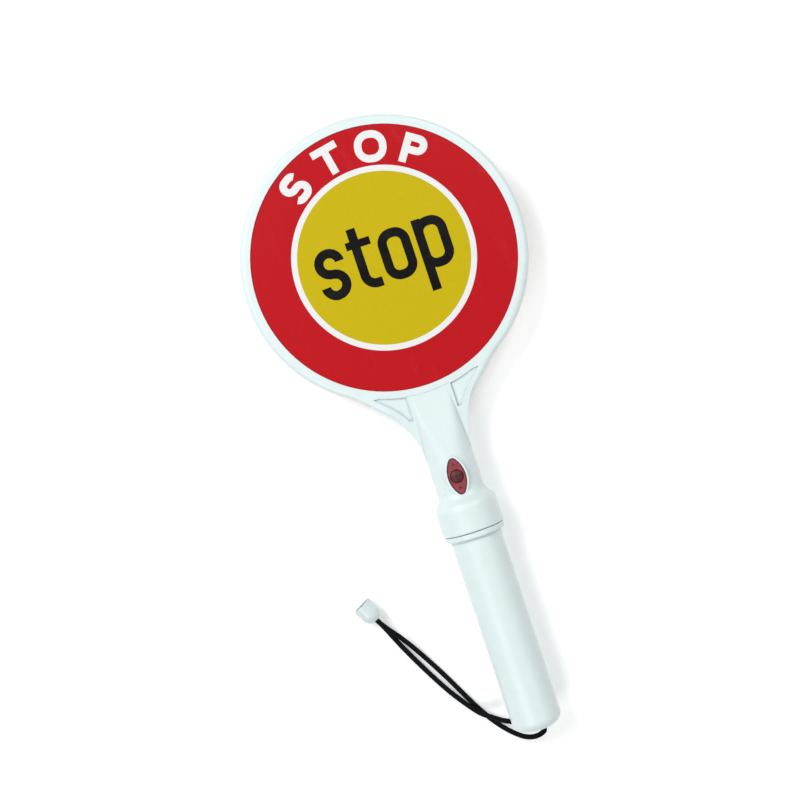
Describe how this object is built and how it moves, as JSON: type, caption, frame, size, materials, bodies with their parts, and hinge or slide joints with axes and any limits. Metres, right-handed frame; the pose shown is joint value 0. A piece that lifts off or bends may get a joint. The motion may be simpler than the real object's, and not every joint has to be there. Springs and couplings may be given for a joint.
{
  "type": "stop slow paddle",
  "caption": "Hand-held round traffic paddle with a red STOP face and an amber SLOW face, a flared neck with a push switch, a screwed-on ribbed battery handle and a wrist strap.",
  "frame": {"origin": "bottom centre of the paddle, lying on its back, without the wrist strap", "axes": "+Y along the paddle's axis from the handle to the top of the round head, +Z out of the STOP face, +X to the right of the STOP face"},
  "size_m": [0.2196, 0.4959, 0.0485],
  "materials": {
    "housing": "satin white moulded ABS",
    "grip": "satin white moulded ABS",
    "sign_red": "red retroreflective film on acrylic",
    "sign_amber": "amber retroreflective film on acrylic",
    "print_white": "printed white",
    "print_yellow": "printed yellow",
    "print_black": "printed black",
    "board": "green glass-fibre board",
    "lamp": "clear lamp lens",
    "steel": "zinc plated",
    "brass": "bright brass",
    "button_red": "dark red glossy dome",
    "lens_red": "translucent red",
    "gasket": "dark rubber",
    "mark": "dark raised mark",
    "chip": "black moulded package",
    "switch": "black switch body",
    "wire_red": "red insulation",
    "wire_black": "black insulation",
    "socket": "grey moulded nylon",
    "seal": "black nitrile",
    "battery": "dry cell in a printed sleeve, given a density near a real cell's",
    "cord": "black braided polyester",
    "bell": "white moulded cord end"
  },
  "bodies": {
    "head": {"front_shell": "housing", "rear_shell": "housing", "front_sign_panel": "sign_red", "front_centre_ring": "print_white", "front_centre_disc": "print_yellow", "front_arc_letters": "print_white", "front_centre_word": "print_black", "rear_sign_panel": "sign_amber", "rear_centre_ring": "print_white", "rear_centre_disc": "print_yellow", "rear_arc_letters": "print_black", "rear_centre_word": "print_black", "front_lamps": "lamp", "rear_lamps": "lamp", "lamp_ring_board": "board", "shell_screws": "steel", "switch_board": "board", "board_screws": "steel", "push_switch": "switch", "driver_chip": "chip", "switch_plate": "lens_red", "switch_gasket": "gasket", "switch_plate_marks": "mark", "button_spring": "steel", "lamp_wire_red": "wire_red", "lamp_wire_black": "wire_black", "feed_wire_red": "wire_red", "feed_wire_black": "wire_black", "threaded_socket": "socket", "positive_rivet": "brass", "positive_spring": "steel", "head_contact_ring": "brass"},
    "button": {"button_cap": "button_red"},
    "seal_ring": {"o_ring": "seal"},
    "handle": {"handle_tube": "grip", "handle_contact_ring": "brass", "negative_strip": "brass", "battery_upper": "battery", "battery_lower": "battery", "negative_plate": "brass", "battery_spring": "steel", "strap_pin": "steel", "strap_outer_strand": "cord", "strap_inner_strand": "cord", "strap_knot": "cord", "strap_bell": "bell"}
  },
  "joints": [
    {"name": "button_press", "type": "slide", "parent": "head", "child": "button", "axis": [0, 0, -1], "range_m": [0, 0.0012], "stiffness_N_per_m": 500, "springref_m": -0.002, "deforming": ["button_spring"]},
    {"name": "handle_lift", "type": "slide", "parent": "head", "child": "seal_ring", "axis": [0, -1, 0], "range_m": [0, 0.0121]},
    {"name": "handle_unscrew", "type": "hinge", "parent": "seal_ring", "child": "handle", "pos_m": [0, -0.1, 0.02425], "axis": [0, -1, 0], "range_deg": [0, 1440]}
  ],
  "couplings": [
    {"joint": "handle_lift", "follows": "handle_unscrew", "m_per_rad": 0.00047746}
  ]
}
